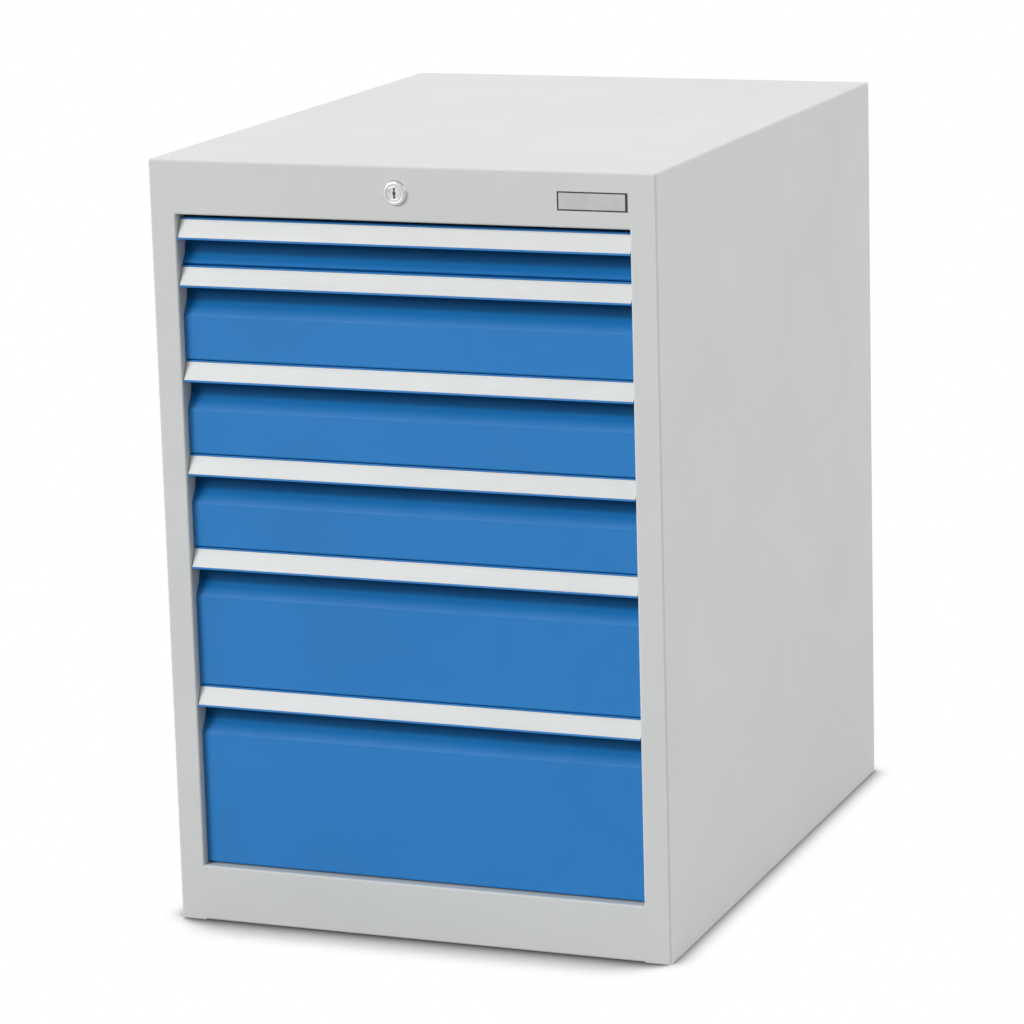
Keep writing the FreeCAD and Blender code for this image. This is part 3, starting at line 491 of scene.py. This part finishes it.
def white_rays(tree):
    """1 for the rays that see the background white: the camera's, mirrored and through glass."""
    path = add(tree, "LightPath")
    seen = path.outputs["Is Camera Ray"]
    for ray in ("Is Glossy Ray", "Is Transmission Ray"):
        seen = add(tree, "Math", {0: seen, 1: path.outputs[ray]}, operation="MAXIMUM").outputs[0]
    return seen


def shade_towards(tree, normal, reach, free, full, bend, depth):
    """What a nearby wall leaves of the floor's brightness: all of it where the share of hidden sky
    is under free, and less by depth where it comes to full."""
    near = {"Distance": reach, "Normal": normal}
    sky = add(tree, "AmbientOcclusion", near, samples=SHADOW_SAMPLES)
    ranged = {"Value": sky.outputs["AO"], "From Min": 1 - free, "From Max": 1 - full, "To Max": 1.0}
    hidden = add(tree, "MapRange", ranged).outputs[0]
    bent = add(tree, "Math", {0: hidden, 1: bend}, operation="POWER").outputs[0]
    return add(tree, "MapRange", {"Value": bent, "To Min": 1.0, "To Max": 1 - depth}).outputs[0]


def floor_material():
    """Matt white studio floor. The camera sees it white up to the object's shadow, and it throws
    only part of the light back under the grips."""
    material, tree = blank_material("studio_floor")
    seen = white_rays(tree)
    upright = add(tree, "NewGeometry").outputs["Normal"]
    backwards = add(tree, "CombineXYZ", {"Y": 1.0}).outputs[0]
    close = shade_towards(tree, upright, *SIDE_SHADOW)
    front = shade_towards(tree, backwards, *FRONT_SHADOW)
    below = shade_towards(tree, upright, *BELOW_SHADOW)
    shade = close
    for part in (front, below):
        shade = add(tree, "Math", {0: shade, 1: part}, operation="MULTIPLY").outputs[0]
    white = add(tree, "CombineColor", {"Red": shade, "Green": shade, "Blue": shade})
    shown = add(tree, "Emission", {"Color": white.outputs[0]})
    lighting = add(tree, "BsdfDiffuse", {"Color": FLOOR_BOUNCE})
    mixed = add(tree, "MixShader", {0: seen, 1: lighting.outputs[0], 2: shown.outputs[0]})
    add(tree, "OutputMaterial", {"Surface": mixed.outputs[0]})
    return material


def studio_floor():
    """Plain floor, wide enough to fill the view from every side."""
    bpy.ops.mesh.primitive_plane_add(size=60)
    plane = bpy.context.object
    plane.name = "studio_floor"
    plane.data.materials.append(floor_material())


def studio_world(strength):
    """Even light from all round, which the camera and reflections see as white."""
    world = bpy.data.worlds.new("studio")
    bpy.context.scene.world = world
    world.use_nodes = True
    tree = world.node_tree
    tree.nodes.clear()
    level = add(tree, "MapRange", {"Value": white_rays(tree), "To Min": strength, "To Max": 1.0})
    background = add(tree, "Background", {"Strength": level.outputs[0]})
    add(tree, "OutputWorld", {"Surface": background.outputs[0]})


def soft_sun(name, towards, level, spread):
    """Light from the direction towards, which gives a facing white surface that level."""
    lamp = bpy.data.lights.new(name, "SUN")
    lamp.energy = level * math.pi
    lamp.angle = math.radians(spread)
    sun = bpy.data.objects.new(name, lamp)
    sun.rotation_euler = Vector(towards).to_track_quat("Z", "Y").to_euler()
    bpy.context.scene.collection.objects.link(sun)


CAMERA_PLACE = Vector((1.6470, -4.2316, 1.4144))
CAMERA_AZIMUTH = 20.754
CAMERA_ELEVATION = 12.43
CAMERA_ROLL = -1.406
CAMERA_SENSOR = 36.0
CAMERA_LENS = 147.43
CAMERA_SHIFT = (-0.06, -0.03)


def place_camera():
    """Looks slightly down on the front and the right side through a long lens."""
    azimuth, elevation, roll = map(math.radians, (CAMERA_AZIMUTH, CAMERA_ELEVATION, CAMERA_ROLL))
    level = math.cos(elevation)
    forward = Vector((-math.sin(azimuth) * level, math.cos(azimuth) * level, -math.sin(elevation)))
    right = forward.cross(Vector((0, 0, 1))).normalized()
    up = right.cross(forward)
    across = right * math.cos(roll) + up * math.sin(roll)
    upright = up * math.cos(roll) - right * math.sin(roll)
    axes = Matrix((across, upright, -forward)).transposed()
    camera = bpy.data.objects.new("camera", bpy.data.cameras.new("camera"))
    camera.data.sensor_width = CAMERA_SENSOR
    camera.data.lens = CAMERA_LENS
    camera.data.shift_x, camera.data.shift_y = CAMERA_SHIFT
    camera.matrix_world = Matrix.Translation(CAMERA_PLACE) @ axes.to_4x4()
    bpy.context.scene.collection.objects.link(camera)
    bpy.context.scene.camera = camera


studio_floor()
studio_world(WORLD_LEVEL)
for name, towards, level, spread in LIGHTS:
    soft_sun(name, towards, level, spread)
place_camera()
bpy.context.scene.view_settings.view_transform = "Standard"
